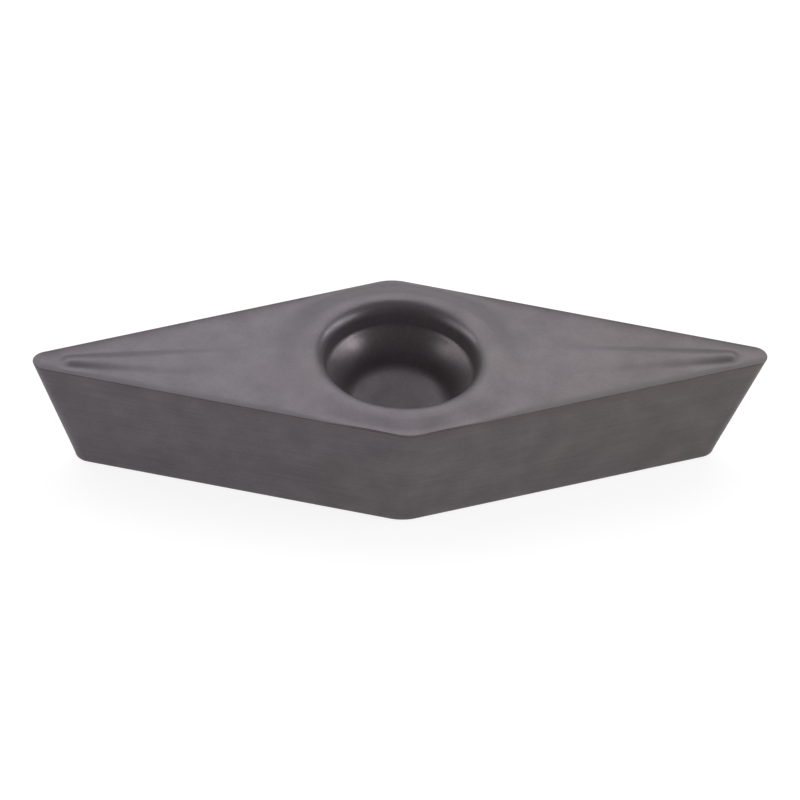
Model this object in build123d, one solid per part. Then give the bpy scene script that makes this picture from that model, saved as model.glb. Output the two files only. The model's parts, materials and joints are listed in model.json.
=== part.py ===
from build123d import *

import math
import os

# A 35 degree rhombic turning insert of cemented carbide, one sintered piece.
# It lies on its seat face at z = 0 with the screw hole's axis on Z, and its long
# diagonal, from nose to nose, along X. Lengths are millimetres, angles degrees.

# Overall form
inscribed_circle = 6.35    # diameter of the circle that touches all four cutting edges
point_angle = 35.0         # between the two cutting edges at each nose
thickness = 3.18           # seat face to cutting edges
clearance_angle = 7.0      # the flanks lean in by this much towards the seat face
nose_radius = 0.4          # round along both pointed corners
side_corner_radius = 1.2   # round along both blunt corners
edge_hone = 0.03           # round on the cutting edges
seat_edge_round = 0.15     # round where the flanks meet the seat face

# Chip groove, a hollow rake slope along all four edges that ends level with the floor
land_width = 0.04          # flat strip between the cutting edge and the rake slope
rake_angle = 20.0          # fall of the rake slope where it leaves the land
groove_width = 0.42        # from the land to the floor

# Ridges on the long diagonal, one behind each nose
ridge_setback = 0.7        # from the tip of the nose to the foot of the ridge
ridge_length = 3.9         # from that foot to where the crest sinks into the floor
ridge_rise = 0.11          # of the ridge's crest at its tip, above the cutting edges
ridge_tip_radius = 0.28    # round at the foot of the tip
ridge_half_angle = 5.0     # that each long side of the ridge opens by
ridge_wall_lean = 55.0     # of the ridge's walls, from upright

# Hub, the raised ring round the screw hole
hub_rise = 0.15            # above the cutting edges
hub_crest_width = 0.02     # flat ring between the lip's round and the shoulder
hub_round = 1.0            # section radius of the shoulder
hub_slope = 16.0           # of the cone from the shoulder down to the floor

# Screw hole
bore_diameter = 2.8
head_seat_round = 1.7      # section radius of the ring-shaped seat under the screw's head
head_seat_width = 0.54     # from the bore's wall out to the foot of the recess wall
recess_depth = 0.45        # cutting edges to the foot of the recess wall
recess_lean = 13.0         # of the recess wall, from upright
lip_round = 0.42           # round on the recess's rim
bore_edge_round = 0.12     # round where the bore opens in the seat face

REACH = 2 * inscribed_circle / math.sin(math.radians(point_angle))  # past the noses
CLEAR = 1.0                # how far a cut runs on beyond the surface that it opens
SAME = 1e-4                # lengths that differ by less are the same

half_angle = math.radians(point_angle / 2)
edge_distance = inscribed_circle / 2                 # hole axis to each cutting edge
apex_x = edge_distance / math.sin(half_angle)        # where the cutting edges would meet
apex_y = edge_distance / math.cos(half_angle)
nose_centre_x = apex_x - nose_radius / math.sin(half_angle)
side_centre_y = apex_y - side_corner_radius / math.cos(half_angle)
edge_normal = 90 - point_angle / 2                   # bearing of the +X +Y edge's normal

groove_radius = groove_width / math.sin(math.radians(rake_angle))
groove_depth = groove_radius * (1 - math.cos(math.radians(rake_angle)))

bore_radius = bore_diameter / 2
head_seat_radius = bore_radius + head_seat_width
head_seat_turn = math.acos(1 - head_seat_width / head_seat_round)
bore_top = thickness - recess_depth - head_seat_round * math.sin(head_seat_turn)
lean = math.radians(recess_lean)
rim_radius = head_seat_radius + (recess_depth + hub_rise) * math.tan(lean)
lip_reach = lip_round * math.tan((math.pi / 2 - lean) / 2)
hub_crest_radius = rim_radius + lip_reach + hub_crest_width
cone = math.radians(hub_slope)
hub_shoulder_radius = hub_crest_radius + hub_round * math.tan(cone / 2)
hub_toe_radius = hub_shoulder_radius + (hub_rise + groove_depth) / math.tan(cone)

ridge_tip_x = nose_centre_x + nose_radius - ridge_setback
ridge_end_x = ridge_tip_x - ridge_length


def make_rhombus():
    """The cutting edges in plan, with sharp corners."""
    return Polygon((apex_x, 0), (0, apex_y), (-apex_x, 0), (0, -apex_y), align=None)


def make_blank():
    """The rhombic body with leaning flanks, rounded corners and edges, and a flat top."""
    body = Rot(180, 0, 0) * extrude(make_rhombus(), thickness, taper=clearance_angle)
    body = Pos(0, 0, thickness) * body
    corners = body.edges().filter_by(lambda edge: edge.bounding_box().size.Z > thickness / 2)
    noses = corners.filter_by(lambda edge: abs(edge.center().X) > edge_distance)
    body = fillet(noses, nose_radius)
    corners = body.edges().filter_by(lambda edge: edge.bounding_box().size.Z > thickness / 2)
    sides = corners.filter_by(lambda edge: abs(edge.center().X) < edge_distance / 2)
    body = fillet(sides, side_corner_radius)
    body = fillet(body.faces().sort_by(Axis.Z)[0].edges(), seat_edge_round)
    return fillet(body.faces().sort_by(Axis.Z)[-1].edges(), edge_hone)


def groove_section(inner_end):
    """What the groove takes away in a section across the edge.

    The first coordinate runs inwards from the edge as far as inner_end, the second up.
    """
    bottom = land_width + groove_width
    middle = math.radians(rake_angle / 2)
    knee = (
        bottom - groove_radius * math.sin(middle),
        groove_radius * (1 - math.cos(middle)) - groove_depth,
    )
    section = make_face(
        [
            ThreePointArc((land_width, 0), knee, (bottom, -groove_depth)),
            Line((bottom, -groove_depth), (REACH, -groove_depth)),
            Line((REACH, -groove_depth), (REACH, CLEAR)),
            Line((REACH, CLEAR), (land_width, CLEAR)),
            Line((land_width, CLEAR), (land_width, 0)),
        ]
    )
    return section & Pos(inner_end / 2, 0) * Rectangle(inner_end, 4 * CLEAR)


def across_edge(centre_x, centre_y, radius, bearing):
    """The upright plane of a section, at radius from a corner's centre and facing it."""
    angle = math.radians(bearing)
    outward = Vector(math.cos(angle), math.sin(angle))
    origin = Vector(centre_x, centre_y, thickness) + outward * radius
    return Plane(origin=origin, x_dir=outward * -1, z_dir=(-outward.Y, outward.X, 0))


def make_groove():
    """All that the groove takes away, the floor inside it too.

    It is made for one quarter of the rhombus, as a straight run along the edge and a
    turn round each corner, and mirrored to the others.
    """
    nose_plane = across_edge(nose_centre_x, 0, nose_radius, 0)
    nose_axis = Axis((nose_centre_x, 0, 0), (0, 0, 1))
    nose_turn = revolve(nose_plane * groove_section(nose_radius), nose_axis, edge_normal)

    side_plane = across_edge(0, side_centre_y, side_corner_radius, edge_normal)
    side_axis = Axis((0, side_centre_y, 0), (0, 0, 1))
    side_turn = revolve(
        side_plane * groove_section(side_corner_radius), side_axis, 90 - edge_normal
    )

    run_start = across_edge(nose_centre_x, 0, nose_radius, edge_normal)
    run_length = nose_centre_x * math.cos(half_angle) + side_centre_y * math.sin(half_angle)
    run = extrude(run_start * groove_section(REACH), run_length)
    quarter_space = Box(REACH, REACH, REACH, align=Align.MIN)
    quarter = (run & quarter_space) + nose_turn + side_turn
    half = quarter + mirror(quarter, Plane.XZ)
    return half + mirror(half, Plane.YZ)


def make_ridge():
    """The ridge behind the +X nose, a rounded wedge whose crest sinks into the floor."""
    wall_lean = math.radians(ridge_wall_lean)
    half = math.radians(ridge_half_angle)
    sunk = groove_depth        # its root reaches this far below the floor
    radius = ridge_tip_radius + sunk * math.tan(wall_lean)
    centre_x = ridge_tip_x - ridge_tip_radius
    touch = Vector(centre_x + radius * math.sin(half), radius * math.cos(half))
    root = Vector(0, touch.Y + touch.X * math.tan(half))
    outline = make_face(
        [
            Line((0, -root.Y), (touch.X, -touch.Y)),
            ThreePointArc((touch.X, -touch.Y), (centre_x + radius, 0), touch),
            Line(touch, root),
            Line(root, (0, -root.Y)),
        ]
    )
    height = sunk + groove_depth + ridge_rise
    ridge = extrude(outline, height, taper=ridge_wall_lean)
    ridge = Pos(0, 0, thickness - groove_depth - sunk) * ridge

    fall = math.atan2(ridge_rise + groove_depth, ridge_length)
    crest_end = Vector(ridge_end_x, 0, thickness - groove_depth)
    above_crest = Box(2 * REACH, REACH, REACH, align=(Align.CENTER, Align.CENTER, Align.MIN))
    crest_up = Vector(-math.sin(fall), 0, math.cos(fall))
    return ridge - Plane(origin=crest_end, z_dir=crest_up) * above_crest


def on_shoulder(angle):
    """The point of the hub's shoulder in section where it has turned by an angle."""
    return (
        hub_crest_radius + hub_round * math.sin(angle),
        hub_rise - hub_round * (1 - math.cos(angle)),
    )


def make_hub():
    """The raised ring: a flat crest, a round shoulder, and a cone down to the floor.

    Where the ring is wider than the rake face it ends at the land's inner side.
    """
    toe = (hub_toe_radius, -groove_depth)
    root = -groove_depth - hub_rise
    profile = make_face(
        [
            Line((0, root), (0, hub_rise)),
            Line((0, hub_rise), on_shoulder(0)),
            ThreePointArc(on_shoulder(0), on_shoulder(cone / 2), on_shoulder(cone)),
            Line(on_shoulder(cone), toe),
            Line(toe, (hub_toe_radius, root)),
            Line((hub_toe_radius, root), (0, root)),
        ]
    )
    hub = revolve(Rot(90, 0, 0) * profile, Axis.Z)

    plan = make_rhombus()
    noses = plan.vertices().filter_by(lambda vertex: abs(vertex.X) > edge_distance)
    plan = fillet(noses, nose_radius)
    sides = plan.vertices().filter_by(lambda vertex: abs(vertex.X) < edge_distance / 2)
    plan = fillet(sides, side_corner_radius)
    inside_land = extrude(offset(plan, -land_width), REACH, both=True)
    return Pos(0, 0, thickness) * (hub & inside_land)


def make_hole():
    """The screw hole: leaning recess wall, rounded seat for the head, and the bore."""
    seat_top = thickness - recess_depth
    above = thickness + hub_rise + CLEAR
    flare = rim_radius + CLEAR * math.tan(lean)
    knee = Vector(
        bore_radius + head_seat_round * (1 - math.cos(head_seat_turn / 2)),
        bore_top + head_seat_round * math.sin(head_seat_turn / 2),
    )
    profile = make_face(
        [
            Line((0, -CLEAR), (bore_radius, -CLEAR)),
            Line((bore_radius, -CLEAR), (bore_radius, bore_top)),
            ThreePointArc((bore_radius, bore_top), knee, (head_seat_radius, seat_top)),
            Line((head_seat_radius, seat_top), (flare, above)),
            Line((flare, above), (0, above)),
            Line((0, above), (0, -CLEAR)),
        ]
    )
    return revolve(Rot(90, 0, 0) * profile, Axis.Z)


def make_insert():
    """The whole insert."""
    ridge = make_ridge()
    body = make_blank() - make_groove()
    body = body + ridge + Rot(0, 0, 180) * ridge + make_hub()
    body = body - make_hole()

    circles = body.edges().filter_by(GeomType.CIRCLE)
    rim = circles.filter_by(lambda edge: abs(edge.center().Z - thickness - hub_rise) < SAME)
    body = fillet(rim.filter_by(lambda edge: abs(edge.radius - rim_radius) < SAME), lip_round)
    mouth = body.edges().filter_by(GeomType.CIRCLE).filter_by(
        lambda edge: abs(edge.center().Z) < SAME and abs(edge.radius - bore_radius) < SAME
    )
    return fillet(mouth, bore_edge_round)


os.makedirs("parts", exist_ok=True)
export_step(make_insert(), "parts/insert.step")
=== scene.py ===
import json
import math

import bmesh
import bpy
from mathutils import Matrix, Vector


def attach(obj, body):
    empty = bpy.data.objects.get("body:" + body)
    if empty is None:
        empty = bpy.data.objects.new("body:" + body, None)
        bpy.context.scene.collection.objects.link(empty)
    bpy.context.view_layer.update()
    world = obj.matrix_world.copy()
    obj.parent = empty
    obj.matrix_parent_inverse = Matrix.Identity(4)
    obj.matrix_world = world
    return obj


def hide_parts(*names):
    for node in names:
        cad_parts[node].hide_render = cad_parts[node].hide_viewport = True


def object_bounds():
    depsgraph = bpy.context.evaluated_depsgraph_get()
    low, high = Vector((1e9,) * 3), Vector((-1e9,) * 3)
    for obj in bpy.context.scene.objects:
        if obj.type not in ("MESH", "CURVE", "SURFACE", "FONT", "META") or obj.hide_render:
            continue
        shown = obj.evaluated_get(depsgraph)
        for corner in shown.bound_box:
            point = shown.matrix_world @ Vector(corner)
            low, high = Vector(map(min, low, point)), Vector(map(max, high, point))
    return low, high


# A coated carbide turning insert with a 35 degree point, lying on its seat face.
# It has the frame's sizes, with softer ridges and rounded creases on its rake face.

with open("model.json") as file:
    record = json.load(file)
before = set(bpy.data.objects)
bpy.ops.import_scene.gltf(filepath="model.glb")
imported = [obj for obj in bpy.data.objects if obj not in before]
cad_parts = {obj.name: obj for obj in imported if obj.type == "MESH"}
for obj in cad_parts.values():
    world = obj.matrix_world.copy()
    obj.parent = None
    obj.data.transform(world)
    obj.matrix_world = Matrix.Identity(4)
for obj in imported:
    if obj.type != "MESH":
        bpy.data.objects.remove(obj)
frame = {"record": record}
cad_low, cad_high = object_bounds()

MM = 0.001

# Driving sizes of the insert
INSCRIBED_CIRCLE = 6.35 * MM
HALF_POINT = math.radians(17.5)
CLEARANCE = math.radians(7)
NOSE_ROUND = 0.4 * MM
SIDE_ROUND = 1.2 * MM
EDGE_HONE = 0.03 * MM
SEAT_EDGE_ROUND = 0.15 * MM

# Chip groove along the edges
LAND = 0.04 * MM
RAKE = math.radians(20)
GROOVE_WIDTH = 0.42 * MM

# Ridges behind the noses, slimmer and a little lower than the frame's
RIDGE_SETBACK = 0.7 * MM
RIDGE_LENGTH = 3.9 * MM
RIDGE_RISE = 0.085 * MM
RIDGE_TIP_ROUND = 0.28 * MM
RIDGE_HALF_ANGLE = math.radians(2.5)
RIDGE_LEAN = math.radians(58)
RIDGE_CREST_ROUND = 0.03 * MM

# Groove, ridges and hub blend where their heights differ by less than this
MOULD_SOFTNESS = 0.1 * MM

# Hub and screw hole
HUB_RISE = 0.15 * MM
HUB_CREST = 0.02 * MM
HUB_SLOPE = math.radians(16)
HUB_ROUND = 1.0 * MM
HEAD_SEAT_RADIUS = 1.94 * MM
HEAD_SEAT_ROUND = 1.7 * MM
RECESS_DEPTH = 0.45 * MM
RECESS_LEAN = math.radians(13)
LIP_ROUND = 0.42 * MM
BORE_EDGE_ROUND = 0.12 * MM

mounts = {mount["name"]: mount for mount in frame["record"]["mounts"]}
BORE_RADIUS = mounts["screw_bore"]["dims"]["r_mm"] * MM
THICKNESS = cad_high.z - HUB_RISE

# Places that follow from the sizes
EDGE_DISTANCE = INSCRIBED_CIRCLE / 2
APEX_X = EDGE_DISTANCE / math.sin(HALF_POINT)
APEX_Y = EDGE_DISTANCE / math.cos(HALF_POINT)
NOSE_CENTRE_X = APEX_X - NOSE_ROUND / math.sin(HALF_POINT)
SIDE_CENTRE_Y = APEX_Y - SIDE_ROUND / math.cos(HALF_POINT)
GROOVE_RADIUS = GROOVE_WIDTH / math.sin(RAKE)
GROOVE_DEPTH = GROOVE_RADIUS * (1 - math.cos(RAKE))
RIDGE_TIP_X = NOSE_CENTRE_X + NOSE_ROUND - RIDGE_SETBACK
RIDGE_END_X = RIDGE_TIP_X - RIDGE_LENGTH
RIM_RADIUS = HEAD_SEAT_RADIUS + (RECESS_DEPTH + HUB_RISE) * math.tan(RECESS_LEAN)
LIP_REACH = LIP_ROUND * math.tan((math.pi / 2 - RECESS_LEAN) / 2)
HUB_CREST_RADIUS = RIM_RADIUS + LIP_REACH + HUB_CREST
HUB_SHOULDER_RADIUS = HUB_CREST_RADIUS + HUB_ROUND * math.tan(HUB_SLOPE / 2)
HONE_INSET = EDGE_HONE * math.tan(CLEARANCE)
HONE_REACH = EDGE_HONE / math.cos(CLEARANCE)
SEAT_EDGE_INSET = (THICKNESS - SEAT_EDGE_ROUND) * math.tan(CLEARANCE)
SEAT_EDGE_REACH = SEAT_EDGE_ROUND / math.cos(CLEARANCE)

# How finely the mesh is stepped round the insert
NOSE_STEPS = 24
SIDE_STEPS = 20
EDGE_STEPS = 96

# How finely it is stepped over the rake face, down the hole and up to the cutting edges
RAKE_FACE_STEPS = 80
LIP_STEPS = 14
RECESS_WALL_STEPS = 6
HEAD_SEAT_STEPS = 14
BORE_STEPS = 10
BORE_EDGE_STEPS = 5
SEAT_FACE_STEPS = 10
SEAT_EDGE_STEPS = 6
FLANK_STEPS = 12
HONE_STEPS = 5

# The rake face's rings lie closer together towards the edges, by this power
RING_CROWDING = 1.35

# Share by which the rings' points are evened out round the hole
SPOKE_EVENING = 0.5

# Points closer together than this are merged
MERGE_DISTANCE = 1e-8

# Floor and air
FLOOR_RADIUS = 3
FLOOR_TONE = 0.32
FLOOR_LIFT = 0.86
AIR_LIGHT = 0.15

# Lamps: name, bearing and elevation in degrees, distance, width and height in metres, radiance
SOFTBOXES = [
    ("back_softbox", -4, 52, 0.5, 0.86, 0.5, 1.18),
    ("horizon_softbox", 0, 12, 0.9, 1.6, 0.34, 0.42),
    ("left_softbox", -84, 22, 0.6, 0.6, 0.24, 1.5),
    ("right_softbox", 90, 25, 0.6, 0.5, 0.16, 4.2),
]

# Coating, in linear colour
VIOLET_TONE = (0.211, 0.188, 0.216)
WARM_TONE = (0.217, 0.193, 0.200)
# Browner, darker tone along the cutting edges, partly wear and partly painted shade
RUBBED_SHADED_TONE = (0.175, 0.143, 0.143)
BLACK = (0, 0, 0, 1)

# Its patterns, in cells per metre
DRIFT_CELLS = 180
MOTTLE_CELLS = 1400
GRAIN_CELLS = 14000
GRINDING_CELLS = 1000
RUB_AND_SHADE_CELLS = 2500

# Spans of a noise's values that the patterns use
NOISE_SPAN = (0.3, 0.7)
GRAIN_SPAN = (0.35, 0.75)
GRINDING_SPAN = (0.35, 0.7)

# How strongly the patterns change tone and roughness
DRIFT_SHARE = 0.35
MOTTLE_SHADE = 0.1
GRINDING_SHADE = 0.12
RUB_AND_SHADE_LEAST = 0.4
RUB_AND_SHADE_MOST = 0.9
ROUGHNESS_DRIFT = 0.05

# Relief of the patterns
MOTTLE_RELIEF = 0.0012 * MM
GRAIN_RELIEF = 0.0006 * MM
GRINDING_RELIEF = 0.0008 * MM

# Distance from a cutting edge over which the rub and its painted shade fade to about a third
RUB_AND_SHADE_WIDTH = 0.07 * MM

# Heights between which painted shade darkens the coating down the hole
HOLE_SHADE_TOP = 2.0 * MM
HOLE_SHADE_END = 0.9 * MM

# How the coating differs from zone to zone; the darker tints of the flank, the screw hole
# and the seat face are partly their own hue and partly painted shade
LOOKS = {
    "rake_face": {
        "tint_and_shade": (1.0, 1.0, 1.0), "metallic": 0.6, "roughness": 0.38, "specks": 0.10, "coarseness": 1.0,
        "hole_shade": 0, "ground_along": None,
    },
    "screw_hole": {
        "tint_and_shade": (0.97, 0.95, 0.94), "metallic": 0.6, "roughness": 0.38, "specks": 0.14, "coarseness": 1.6,
        "hole_shade": 0.24, "ground_along": None,
    },
    "flank": {
        "tint_and_shade": (0.835, 0.805, 0.79), "metallic": 0.5, "roughness": 0.5, "specks": 0.10, "coarseness": 0.8,
        "hole_shade": 0, "ground_along": (0.6, 0.6, 16),
    },
    "edge": {
        "tint_and_shade": (1.0, 1.0, 1.0), "metallic": 0.4, "roughness": 0.45, "specks": 0.06, "coarseness": 0.6,
        "hole_shade": 0, "ground_along": None,
    },
    "seat_face": {
        "tint_and_shade": (0.95, 0.95, 0.95), "metallic": 0.6, "roughness": 0.4, "specks": 0.08, "coarseness": 0.8,
        "hole_shade": 0, "ground_along": (0.6, 16, 0.6),
    },
}


class Corner:
    """One rounded corner of the rhombus, an ellipse in plan because its edge leans."""

    def __init__(self, quarter, half_angle, radius, steps):
        self.turn = quarter * math.pi / 2
        self.half_angle = half_angle
        self.steps = steps
        lean = math.atan(math.tan(CLEARANCE) / math.sin(half_angle))
        self.along = radius / math.cos(lean)
        self.across = radius
        self.reach = math.hypot(self.along, radius / math.tan(half_angle))
        self.last = math.atan2(radius * math.cos(half_angle), self.along * math.sin(half_angle))

    def point(self, angle, inset, shrink):
        """The outline's point at an angle of the corner's round, in plan."""
        centre = (EDGE_DISTANCE - inset) / math.sin(self.half_angle) - self.reach
        x = centre + (self.along - shrink) * math.cos(angle)
        y = (self.across - shrink) * math.sin(angle)
        return Vector((x, y)) @ Matrix.Rotation(-self.turn, 2)


CORNERS = [
    Corner(0, HALF_POINT, NOSE_ROUND, NOSE_STEPS),
    Corner(1, math.pi / 2 - HALF_POINT, SIDE_ROUND, SIDE_STEPS),
    Corner(2, HALF_POINT, NOSE_ROUND, NOSE_STEPS),
    Corner(3, math.pi / 2 - HALF_POINT, SIDE_ROUND, SIDE_STEPS),
]


def outline(inset=0.0, shrink=0.0):
    """The rhombus in plan, counterclockwise, always with the same number of points.

    inset moves the flanks in with their corner rounds as they are, and shrink also
    takes from the rounds, as an offset does.
    """
    points = []
    for index, corner in enumerate(CORNERS):
        for step in range(corner.steps):
            angle = corner.last * (2 * step / corner.steps - 1)
            points.append(corner.point(angle, inset, shrink))
        following = CORNERS[(index + 1) % len(CORNERS)]
        start = corner.point(corner.last, inset, shrink)
        end = following.point(-following.last, inset, shrink)
        for step in range(EDGE_STEPS):
            points.append(start.lerp(end, step / EDGE_STEPS))
    return points


def smooth_max(a, b, softness):
    """The larger of two heights, with the crease between them rounded."""
    overlap = max(softness - abs(a - b), 0) / softness
    return max(a, b) + overlap * overlap * softness / 4


def smooth_min(a, b, softness):
    """The smaller of two heights, with the crease between them rounded."""
    return -smooth_max(-a, -b, softness)


def edge_gap(x, y):
    """Distance in plan from a point of the rake face to the nearest cutting edge."""
    x, y = abs(x), abs(y)
    if (x - NOSE_CENTRE_X) * math.cos(HALF_POINT) > y * math.sin(HALF_POINT):
        return NOSE_ROUND - math.hypot(x - NOSE_CENTRE_X, y)
    if x * math.cos(HALF_POINT) < (y - SIDE_CENTRE_Y) * math.sin(HALF_POINT):
        return SIDE_ROUND - math.hypot(x, y - SIDE_CENTRE_Y)
    return EDGE_DISTANCE - x * math.sin(HALF_POINT) - y * math.cos(HALF_POINT)


def ridge_gap(x, y):
    """Distance in plan from the foot of the nearer ridge, positive inside it."""
    x, y = abs(x), math.hypot(y, RIDGE_CREST_ROUND)
    beyond = x - (RIDGE_TIP_X - RIDGE_TIP_ROUND)
    if beyond * math.cos(RIDGE_HALF_ANGLE) > y * math.sin(RIDGE_HALF_ANGLE):
        return RIDGE_TIP_ROUND - math.hypot(beyond, y)
    return RIDGE_TIP_ROUND - beyond * math.sin(RIDGE_HALF_ANGLE) - y * math.cos(RIDGE_HALF_ANGLE)


def hub_height(radius):
    """Height of the hub's round shoulder and of the cone below it."""
    beyond = radius - HUB_CREST_RADIUS
    round_end = HUB_ROUND * math.sin(HUB_SLOPE)
    if beyond < round_end:
        return HUB_RISE - HUB_ROUND + math.sqrt(HUB_ROUND ** 2 - max(beyond, 0) ** 2)
    return HUB_RISE - (radius - HUB_SHOULDER_RADIUS) * math.tan(HUB_SLOPE)


def relief(x, y):
    """Height of the rake face over the cutting edges, from the land to the hub's crest."""
    to_bottom = min(max(LAND + GROOVE_WIDTH - edge_gap(x, y), 0), GROOVE_WIDTH)
    groove = GROOVE_RADIUS - math.sqrt(GROOVE_RADIUS ** 2 - to_bottom ** 2) - GROOVE_DEPTH
    height = smooth_max(groove, hub_height(math.hypot(x, y)), MOULD_SOFTNESS)

    crest = (RIDGE_RISE + GROOVE_DEPTH) * (abs(x) - RIDGE_END_X) / RIDGE_LENGTH - GROOVE_DEPTH
    wall = ridge_gap(x, y) / math.tan(RIDGE_LEAN) - GROOVE_DEPTH
    ridge = smooth_min(crest, wall, MOULD_SOFTNESS)
    return smooth_max(height, ridge, MOULD_SOFTNESS)


def arc(centre, radius, start, end, steps):
    """Points of (r, z) on an arc, both ends included, with angles in degrees."""
    angles = [math.radians(start + (end - start) * step / steps) for step in range(steps + 1)]
    return [
        (centre[0] + radius * math.cos(angle), centre[1] + radius * math.sin(angle))
        for angle in angles
    ]


def between(start, end, steps):
    """Points of (r, z) on the straight line from start to end, without those two."""
    shares = [step / steps for step in range(1, steps)]
    return [tuple(a + (b - a) * share for a, b in zip(start, end)) for share in shares]


def hole_profile():
    """(r, z) from the start of the hole's lip down to the seat face."""
    lean = math.degrees(RECESS_LEAN)
    lip_centre = (RIM_RADIUS + LIP_REACH, THICKNESS + HUB_RISE - LIP_ROUND)
    lip = arc(lip_centre, LIP_ROUND, 90, 180 - lean, LIP_STEPS)

    head_seat_top = THICKNESS - RECESS_DEPTH
    turn = math.acos(1 - (HEAD_SEAT_RADIUS - BORE_RADIUS) / HEAD_SEAT_ROUND)
    bore_top = head_seat_top - HEAD_SEAT_ROUND * math.sin(turn)
    head_seat_centre = (BORE_RADIUS + HEAD_SEAT_ROUND, bore_top)
    start = 180 - math.degrees(turn)
    head_seat = arc(head_seat_centre, HEAD_SEAT_ROUND, start, 180, HEAD_SEAT_STEPS)

    mouth_centre = (BORE_RADIUS + BORE_EDGE_ROUND, BORE_EDGE_ROUND)
    mouth = arc(mouth_centre, BORE_EDGE_ROUND, 180, 270, BORE_EDGE_STEPS)
    wall = between(lip[-1], head_seat[0], RECESS_WALL_STEPS)
    bore = between(head_seat[-1], mouth[0], BORE_STEPS)
    return lip + wall + head_seat + bore + mouth


def level(points, z):
    """A plan outline at one height."""
    return [Vector((point.x, point.y, z)) for point in points]


def spokes(line):
    """Plan directions from the hole's axis for the points of a line, partly evened out."""
    directions = []
    for index, point in enumerate(line):
        even = 2 * math.pi * (index - CORNERS[0].steps / 2) / len(line)
        bearing = math.atan2(point.y, point.x)
        bearing += 2 * math.pi * round((even - bearing) / (2 * math.pi))
        bearing += (even - bearing) * SPOKE_EVENING
        directions.append(Vector((math.cos(bearing), math.sin(bearing))))
    return directions


def rake_face_rings(land_line, directions):
    """From the land's inner side to the hub's crest, at the height of the relief."""
    made = []
    for step in range(1, RAKE_FACE_STEPS + 1):
        share = (step / RAKE_FACE_STEPS) ** RING_CROWDING
        spots = [a.lerp(b * HUB_CREST_RADIUS, share) for a, b in zip(land_line, directions)]
        raised = [Vector((spot.x, spot.y, THICKNESS + relief(spot.x, spot.y))) for spot in spots]
        made.append(("rake_face", raised))
    return made


def hole_rings(directions):
    """From the hub's crest down the screw hole to the seat face."""
    made = []
    for radius, z in hole_profile():
        zone = "screw_hole" if z < THICKNESS else "rake_face"
        made.append((zone, level([direction * radius for direction in directions], z)))
    return made


def seat_face_rings(directions):
    """From the bore's mouth out to the round of the seat edge."""
    seat_line = outline(SEAT_EDGE_INSET, SEAT_EDGE_REACH)
    mouth = [direction * (BORE_RADIUS + BORE_EDGE_ROUND) for direction in directions]
    made = []
    for step in range(1, SEAT_FACE_STEPS + 1):
        share = step / SEAT_FACE_STEPS
        made.append(("seat_face", level([a.lerp(b, share) for a, b in zip(mouth, seat_line)], 0)))
    return made


def flank_rings():
    """Round the seat edge and up the flanks."""
    made = []
    for step in range(1, SEAT_EDGE_STEPS + 1):
        angle = -math.pi / 2 + (math.pi / 2 - CLEARANCE) * step / SEAT_EDGE_STEPS
        shrink = SEAT_EDGE_REACH - SEAT_EDGE_ROUND * math.cos(angle)
        z = SEAT_EDGE_ROUND * (1 + math.sin(angle))
        made.append(("flank", level(outline(SEAT_EDGE_INSET, shrink), z)))

    low = SEAT_EDGE_ROUND * (1 - math.sin(CLEARANCE))
    high = THICKNESS - EDGE_HONE * (1 + math.sin(CLEARANCE))
    for step in range(1, FLANK_STEPS + 1):
        z = low + (high - low) * step / FLANK_STEPS
        inset = (THICKNESS - z) * math.tan(CLEARANCE)
        made.append(("flank", level(outline(inset), z)))
    return made


def hone_rings():
    """Round the honed cutting edges."""
    made = []
    for step in range(1, HONE_STEPS + 1):
        angle = -CLEARANCE + (math.pi / 2 + CLEARANCE) * step / HONE_STEPS
        shrink = HONE_REACH - EDGE_HONE * math.cos(angle)
        z = THICKNESS - EDGE_HONE * (1 - math.sin(angle))
        made.append(("edge", level(outline(HONE_INSET, shrink), z)))
    return made


def rings():
    """Every ring of the mesh in order, each with the name of the zone that leads to it."""
    land_line = outline(HONE_INSET, LAND)
    directions = spokes(land_line)
    land = ("rake_face", level(land_line, THICKNESS))
    made = [land]
    made += rake_face_rings(land_line, directions)
    made += hole_rings(directions)
    made += seat_face_rings(directions)
    made += flank_rings()
    made += hone_rings()
    made.append(land)
    return made


def extrude_ring(mesh, verts, targets):
    """Extrudes a closed ring of vertices onto the target points and returns the new ring."""
    edges = []
    for vert, following in zip(verts, verts[1:] + verts[:1]):
        edges.append(mesh.edges.get((vert, following)))
    grown = bmesh.ops.extrude_edge_only(mesh, edges=edges)["geom"]
    fresh = {item for item in grown if isinstance(item, bmesh.types.BMVert)}
    ring = []
    for vert, target in zip(verts, targets):
        raised = next(e.other_vert(vert) for e in vert.link_edges if e.other_vert(vert) in fresh)
        raised.co = target
        ring.append(raised)
    faces = [item for item in grown if isinstance(item, bmesh.types.BMFace)]
    return ring, faces


def make_insert(zones):
    """The insert as one closed mesh, grown ring by ring round the rake face and the hole."""
    mesh = bmesh.new()
    steps = rings()
    circle = bmesh.ops.create_circle(mesh, segments=len(steps[0][1]), radius=1)["verts"]
    ring = list(circle)
    for vert, target in zip(ring, steps[0][1]):
        vert.co = target
    for zone, targets in steps[1:]:
        ring, faces = extrude_ring(mesh, ring, targets)
        for face in faces:
            face.material_index = zones.index(zone)
            face.smooth = True
    bmesh.ops.remove_doubles(mesh, verts=mesh.verts, dist=MERGE_DISTANCE)
    bmesh.ops.recalc_face_normals(mesh, faces=mesh.faces)
    data = bpy.data.meshes.new("coated_insert")
    mesh.to_mesh(data)
    mesh.free()
    piece = bpy.data.objects.new("coated_insert", data)
    bpy.context.scene.collection.objects.link(piece)
    return piece


def add_node(tree, kind, values=None, **settings):
    """Adds a node, with its settings by name and its sockets' values by socket name."""
    node = tree.nodes.new(kind)
    for name, value in settings.items():
        setattr(node, name, value)
    for name, value in (values or {}).items():
        node.inputs[name].default_value = value
    return node


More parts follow.
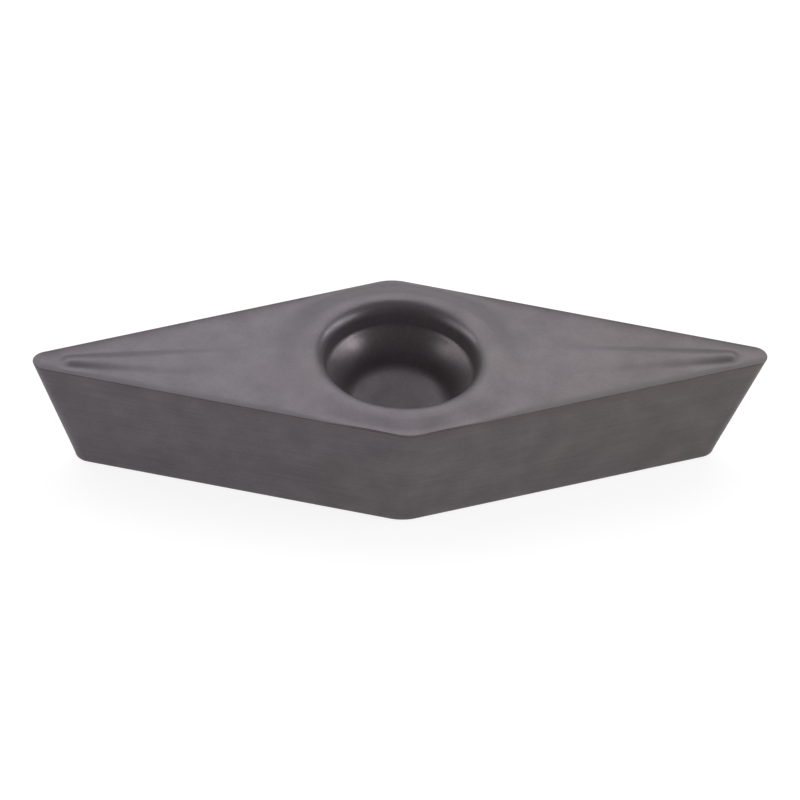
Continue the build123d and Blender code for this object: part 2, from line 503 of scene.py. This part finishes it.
def add_noise(tree, place, scale, detail, stretch=(1, 1, 1)):
    """A noise on the insert's own coordinates. scale is in cells per metre."""
    mapping = add_node(tree, "ShaderNodeMapping", {"Scale": stretch})
    tree.links.new(place, mapping.inputs["Vector"])
    noise = add_node(tree, "ShaderNodeTexNoise", {"Scale": scale, "Detail": detail})
    tree.links.new(mapping.outputs["Vector"], noise.inputs["Vector"])
    return noise.outputs["Fac"]


def plug(tree, value, socket):
    """Links a socket's value to another socket, or sets it where it is a constant."""
    if isinstance(value, bpy.types.NodeSocket):
        tree.links.new(value, socket)
    else:
        socket.default_value = value


def add_math(tree, operation, first, second, use_clamp=False):
    """A sum, product or the like of two values, each a socket or a constant."""
    node = add_node(tree, "ShaderNodeMath", operation=operation, use_clamp=use_clamp)
    plug(tree, first, node.inputs[0])
    plug(tree, second, node.inputs[1])
    return node.outputs[0]


def add_range(tree, value, span, low, high):
    """The value, mapped from a span of its own to the range from low to high."""
    values = {"From Min": span[0], "From Max": span[1], "To Min": low, "To Max": high}
    node = add_node(tree, "ShaderNodeMapRange", values)
    tree.links.new(value, node.inputs["Value"])
    return node.outputs["Result"]


def add_blend(tree, factor, first, second):
    """Mixes two colours, each a socket or a constant, by a factor that is one too."""
    node = add_node(tree, "ShaderNodeMix", data_type="RGBA")
    slots = ("Factor_Float", factor), ("A_Color", first), ("B_Color", second)
    for identifier, value in slots:
        plug(tree, value, next(item for item in node.inputs if item.identifier == identifier))
    return next(item for item in node.outputs if item.identifier == "Result_Color")


def add_shade(tree, color, value, span, darkest):
    """Darkens a colour as a value goes through its span, by up to a share."""
    return add_blend(tree, add_range(tree, value, span, 0, darkest), color, BLACK)


def add_bump(tree, height, distance, normal=None):
    """Relief of a height pattern, on top of the relief before it."""
    node = add_node(tree, "ShaderNodeBump", {"Strength": 1, "Distance": distance})
    tree.links.new(height, node.inputs["Height"])
    if normal is not None:
        tree.links.new(normal, node.inputs["Normal"])
    return node.outputs["Normal"]


def tinted(color, tint_and_shade):
    """A tone of the coating with a zone's tint and painted shade on it, as a shader's colour."""
    return (*(channel * share for channel, share in zip(color, tint_and_shade)), 1)


def add_tone(tree, place, x, tint_and_shade):
    """The coating's colour, violet grey at the -X nose and warmer at the +X nose, with the zone's tint and
    painted shade on it.
    """
    along = add_range(tree, x, (-NOSE_CENTRE_X, NOSE_CENTRE_X), 0, 1)
    drift = add_noise(tree, place, DRIFT_CELLS, detail=2)
    lean = add_range(tree, drift, NOISE_SPAN, -DRIFT_SHARE, DRIFT_SHARE)
    warmth = add_math(tree, "ADD", along, lean, use_clamp=True)
    return add_blend(tree, warmth, tinted(VIOLET_TONE, tint_and_shade), tinted(WARM_TONE, tint_and_shade))


def add_rub_and_shade(tree, place, color, tint_and_shade):
    """Turns a colour browner and darker along the cutting edges, more in some patches than in others:
    partly wear, partly painted shade.
    """
    nearness = add_node(tree, "ShaderNodeAttribute", attribute_name="edge_nearness").outputs["Fac"]
    patches = add_noise(tree, place, RUB_AND_SHADE_CELLS, detail=3)
    strength = add_range(tree, patches, NOISE_SPAN, RUB_AND_SHADE_LEAST, RUB_AND_SHADE_MOST)
    rub_and_shade = add_math(tree, "MULTIPLY", nearness, strength)
    return add_blend(tree, rub_and_shade, color, tinted(RUBBED_SHADED_TONE, tint_and_shade))


def make_coating(zone, look):
    """The dark hard coating as it is on one zone of the insert.

    Its tone drifts from nose to nose, it is mottled and finely grained, ground lines show
    through where the carbide was ground, painted shade darkens it down the screw hole, and it
    is rubbed browner and darker along the cutting edges, partly wear, partly painted shade.

    In a look, specks is how dark the grain is, coarseness how much relief it has, hole_shade
    how much painted shade darkens the coating with depth down the hole, and ground_along how
    the ground lines are squeezed along each axis.
    """
    material = bpy.data.materials.new("coating_" + zone)
    material.use_nodes = True
    tree = material.node_tree
    shader = tree.nodes["Principled BSDF"]
    place = add_node(tree, "ShaderNodeTexCoord").outputs["Object"]
    axes = add_node(tree, "ShaderNodeSeparateXYZ")
    tree.links.new(place, axes.inputs["Vector"])

    color = add_tone(tree, place, axes.outputs["X"], look["tint_and_shade"])
    # Painted shade, darker with depth down the screw hole
    if look["hole_shade"]:
        heights = (HOLE_SHADE_TOP, HOLE_SHADE_END)
        color = add_shade(tree, color, axes.outputs["Z"], heights, look["hole_shade"])

    mottle = add_noise(tree, place, MOTTLE_CELLS, detail=4)
    grain = add_noise(tree, place, GRAIN_CELLS, detail=2)
    color = add_shade(tree, color, mottle, NOISE_SPAN, MOTTLE_SHADE)
    color = add_shade(tree, color, grain, GRAIN_SPAN, look["specks"])
    normal = add_bump(tree, mottle, MOTTLE_RELIEF)
    normal = add_bump(tree, grain, GRAIN_RELIEF * look["coarseness"], normal)

    if look["ground_along"]:
        lines = add_noise(tree, place, GRINDING_CELLS, detail=3, stretch=look["ground_along"])
        color = add_shade(tree, color, lines, GRINDING_SPAN, GRINDING_SHADE)
        normal = add_bump(tree, lines, GRINDING_RELIEF, normal)

    # Browner and darker along the cutting edges: partly wear, partly painted shade
    color = add_rub_and_shade(tree, place, color, look["tint_and_shade"])
    smoothest = look["roughness"] - ROUGHNESS_DRIFT
    roughest = look["roughness"] + ROUGHNESS_DRIFT
    roughness = add_range(tree, mottle, NOISE_SPAN, smoothest, roughest)
    tree.links.new(color, shader.inputs["Base Color"])
    tree.links.new(roughness, shader.inputs["Roughness"])
    tree.links.new(normal, shader.inputs["Normal"])
    shader.inputs["Metallic"].default_value = look["metallic"]
    return material


def mark_edges(piece):
    """Stores on each vertex how near it is to a cutting edge, from 0 to 1."""
    nearness = piece.data.attributes.new("edge_nearness", "FLOAT", "POINT")
    for vert, item in zip(piece.data.vertices, nearness.data):
        distance = math.hypot(edge_gap(vert.co.x, vert.co.y), THICKNESS - vert.co.z)
        item.value = math.exp(-distance / RUB_AND_SHADE_WIDTH)


def make_floor():
    """A plain pale floor, lifted to white for the camera and for reflections."""
    mesh = bmesh.new()
    bmesh.ops.create_circle(mesh, cap_ends=True, segments=96, radius=FLOOR_RADIUS)
    data = bpy.data.meshes.new("floor")
    mesh.to_mesh(data)
    mesh.free()
    floor = bpy.data.objects.new("floor", data)
    bpy.context.scene.collection.objects.link(floor)

    material = bpy.data.materials.new("floor")
    material.use_nodes = True
    tree = material.node_tree
    shader = tree.nodes["Principled BSDF"]
    shader.inputs["Base Color"].default_value = (FLOOR_TONE, FLOOR_TONE, FLOOR_TONE, 1)
    shader.inputs["Roughness"].default_value = 0.9
    shader.inputs["Specular IOR Level"].default_value = 0.1
    shader.inputs["Emission Color"].default_value = (1, 1, 1, 1)
    path = add_node(tree, "ShaderNodeLightPath").outputs
    seen = add_math(tree, "MAXIMUM", path["Is Camera Ray"], path["Is Glossy Ray"])
    seen = add_math(tree, "MAXIMUM", seen, path["Is Transmission Ray"])
    lift = add_math(tree, "MULTIPLY", seen, FLOOR_LIFT)
    tree.links.new(lift, shader.inputs["Emission Strength"])
    data.materials.append(material)


def make_camera():
    """The photograph's view: a long lens, 39 degrees above the floor and slightly rolled."""
    turn = math.radians(6.75)
    elevation = math.radians(38.9)
    roll = math.radians(-3.83)
    circles_away = 67.7
    pixels_per_circle = 243.1
    distance = circles_away * INSCRIBED_CIRCLE
    shift = Vector((0.0034, 0.1727)) * INSCRIBED_CIRCLE
    focal_pixels = pixels_per_circle * circles_away
    image_pixels = 800

    right = Vector((1, 0, 0))
    up = Vector((0, math.sin(elevation), math.cos(elevation)))
    forward = Vector((0, math.cos(elevation), -math.sin(elevation)))
    rolled_right = right * math.cos(roll) - up * math.sin(roll)
    rolled_up = right * math.sin(roll) + up * math.cos(roll)
    place = -distance * forward - shift.x * rolled_right - shift.y * rolled_up
    unturn = Matrix.Rotation(-turn, 3, "Z")
    axes = Matrix((unturn @ rolled_right, unturn @ rolled_up, unturn @ -forward)).transposed()
    stand = unturn @ place + Vector((0, 0, THICKNESS))

    data = bpy.data.cameras.new("camera")
    data.sensor_width = 36
    data.lens = focal_pixels * data.sensor_width / image_pixels
    data.clip_start = 0.01
    data.clip_end = 20
    camera = bpy.data.objects.new("camera", data)
    camera.matrix_world = Matrix.Translation(stand) @ axes.to_4x4()
    bpy.context.scene.collection.objects.link(camera)
    bpy.context.scene.camera = camera


def make_softbox(name, bearing, elevation, distance, width, height, radiance):
    """A flat lamp that faces the insert. Bearing 0 is straight behind it, 90 to its right."""
    data = bpy.data.lights.new(name, "AREA")
    data.shape = "RECTANGLE"
    data.size = width
    data.size_y = height
    data.energy = radiance * math.pi * width * height
    lamp = bpy.data.objects.new(name, data)
    bearing, elevation = math.radians(bearing), math.radians(elevation)
    away = Vector((
        math.cos(elevation) * math.sin(bearing),
        math.cos(elevation) * math.cos(bearing),
        math.sin(elevation),
    ))
    lamp.location = away * distance
    lamp.rotation_euler = (-away).to_track_quat("-Z", "Y").to_euler()
    bpy.context.scene.collection.objects.link(lamp)


def make_light():
    """Soft lamps above, behind and on both sides of the insert, and darker air around it."""
    for name, *settings in SOFTBOXES:
        make_softbox(name, *settings)
    world = bpy.data.worlds.new("studio")
    world.use_nodes = True
    background = world.node_tree.nodes["Background"]
    background.inputs["Color"].default_value = (1, 1, 1, 1)
    background.inputs["Strength"].default_value = AIR_LIGHT
    bpy.context.scene.world = world


make_camera()
make_light()
make_floor()
insert = make_insert(list(LOOKS))
mark_edges(insert)
for zone, look in LOOKS.items():
    insert.data.materials.append(make_coating(zone, look))
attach(insert, "root")
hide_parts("insert")

bpy.context.scene.view_settings.view_transform = "Standard"
